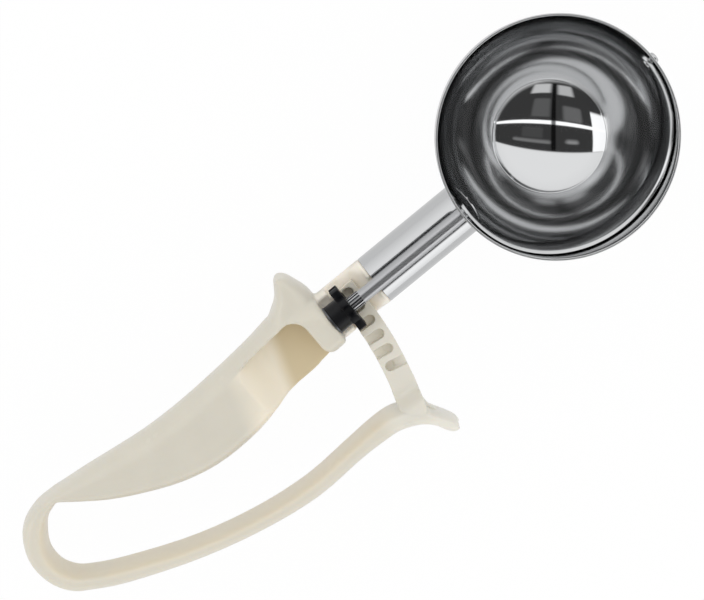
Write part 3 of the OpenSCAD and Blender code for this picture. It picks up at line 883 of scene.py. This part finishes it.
# %% Directions of the room
world = bpy.data.worlds.new("studio")
bpy.context.scene.world = world
world.use_nodes = True
world.cycles.sampling_method = "NONE"     # the room is only seen, so no lamp is searched for in it
room = world.node_tree
room.nodes.clear()
heading = add(room, "TexCoord", out="Generated")
LOW_CORNER = 0.64 * right - 0.77 * up     # low down, toward the right of the view
facing, rightward, upward, low_corner, height = [
    add(room, "VectorMath", [heading, way], out="Value", operation="DOT_PRODUCT")
    for way in (-ahead, right, up, LOW_CORNER, (0, 0, 1))]
facing_far = add(room, "Math", [facing, 0.05], operation="MAXIMUM")
p = add(room, "Math", [rightward, facing_far], operation="DIVIDE")
q = add(room, "Math", [upward, facing_far], operation="DIVIDE")
# the sweep's edge and the strip both lean, and rise toward the left of the view
lean_q = add(room, "Math", [p, 0.087, q], operation="MULTIPLY_ADD")
print("directions ready")

# %% [markdown]
# The room behind the camera is a set of dim panels on dark, each with soft edges. The brightest thing
# in a direction is what the steel shows there.

# %% Panels of the room
DARK = 0.05                               # brightness of the bare room
# left, right, bottom, top and brightness of each panel
PANELS = [(0.02, 0.42, -0.9, -0.42, 0.13), (0.55, 1.2, -0.7, -0.38, 0.04), (-0.62, -0.2, -0.72, -0.38, 0.17),
          (0.12, 0.6, -0.24, -0.02, 0.08), (-0.75, -0.15, -0.24, 0.1, 0.05), (0.0, 0.8, 0.02, 0.05, 0.35),
          (-0.5, -0.25, -0.02, 0.03, 0.4), (0.05, 0.55, -1.55, -1.1, 0.7), (-0.5, -0.12, -1.5, -1.05, 0.6)]


def brightest(first, *others):
    for other in others:
        first = add(room, "Math", [first, other], operation="MAXIMUM")
    return first


def panel(left, right_end, bottom, top, level):
    """One dim panel, with soft edges."""
    inside = mask(room, (p, left - 0.07, left + 0.07), (p, right_end + 0.07, right_end - 0.07),
                  (lean_q, bottom - 0.08, bottom + 0.04), (lean_q, top + 0.03, top - 0.04))
    return product(room, inside, level)


light = brightest(DARK, *[panel(*each) for each in PANELS])
print("panels:", len(PANELS))

# %% [markdown]
# The strip light joins the panels, and a post stands in front of them all. The white sweep, the windows
# low down and to the left, and everything off to the side come in front of the post. Two backgrounds
# are mixed at the end: glossy rays get the room, and all other rays get plain white.

# %% Lights of the room
STRIP, WINDOW, POST = 1.5, 1.4, 0.85      # brightness of two lights, and how much the post hides
strip_light = product(room, mask(room, (lean_q, -0.375, -0.355), (lean_q, -0.285, -0.305)), STRIP)
post = mask(room, (p, -0.09, -0.06), (p, 0.02, -0.01))
open_view = add(room, "Math", [post, -POST, 1.0], operation="MULTIPLY_ADD")
light = product(room, brightest(light, strip_light), open_view)
sweep = mask(room, (lean_q, 0.16, 0.2))
aside = mask(room, (facing, 0.55, 0.42))
left_window = mask(room, (p, -0.85, -0.88), (q, -0.7, -0.6), (lean_q, 0.2, 0.16))
low_window = mask(room, (low_corner, 0.84, 0.93))
light = brightest(light, sweep, aside, product(room, left_window, WINDOW), product(room, low_window, WINDOW))
# the walls of the room are dimmer near the floor
light = product(room, light, add(room, "MapRange", [height, 0.0, 0.7, 0.74, 0.97]))
glossy = add(room, "Background", {"Color": light, "Strength": 1.17})
even = add(room, "Background", {"Color": (1, 1, 1, 1), "Strength": 1.0})
is_glossy = add(room, "LightPath", out="Is Glossy Ray")
add(room, "OutputWorld", {"Surface": add(room, "MixShader", [is_glossy, even, glossy])})
print("world nodes:", len(room.nodes))

# %% [markdown]
# ## Floor
# The tool lies on white paper. The paper is mostly light of its own, so that it stays white in the view
# and in the steel. The rest of it is matt, and that small share keeps the tool's shadow.

# %% Floor and colour
FLOOR_Z = -38.5
bpy.ops.object.select_all(action="DESELECT")
bpy.ops.mesh.primitive_plane_add(size=4, location=at(0, 0, FLOOR_Z))
floor = named("pale_floor")
paper = bpy.data.materials.new("pale_paper")
paper.use_nodes = True
sheet = paper.node_tree
sheet.nodes.clear()
by_camera, by_glossy = [add(sheet, "LightPath", out=ray) for ray in ("Is Camera Ray", "Is Glossy Ray")]
matt = add(sheet, "BsdfDiffuse", {"Color": colour("#FCFCFB")})
shine = add(sheet, "Math", [by_glossy, -0.16, 1.0], operation="MULTIPLY_ADD")
glow = add(sheet, "Emission", {"Color": (1, 1, 1, 1), "Strength": shine})
seen = add(sheet, "Math", [by_camera, by_glossy], operation="MAXIMUM")
add(sheet, "OutputMaterial", {"Surface": add(sheet, "MixShader", [product(sheet, seen, 0.96), matt, glow])})
floor.data.materials.append(paper)
bpy.context.scene.view_settings.view_transform = "Standard"
print("floor and view ready")
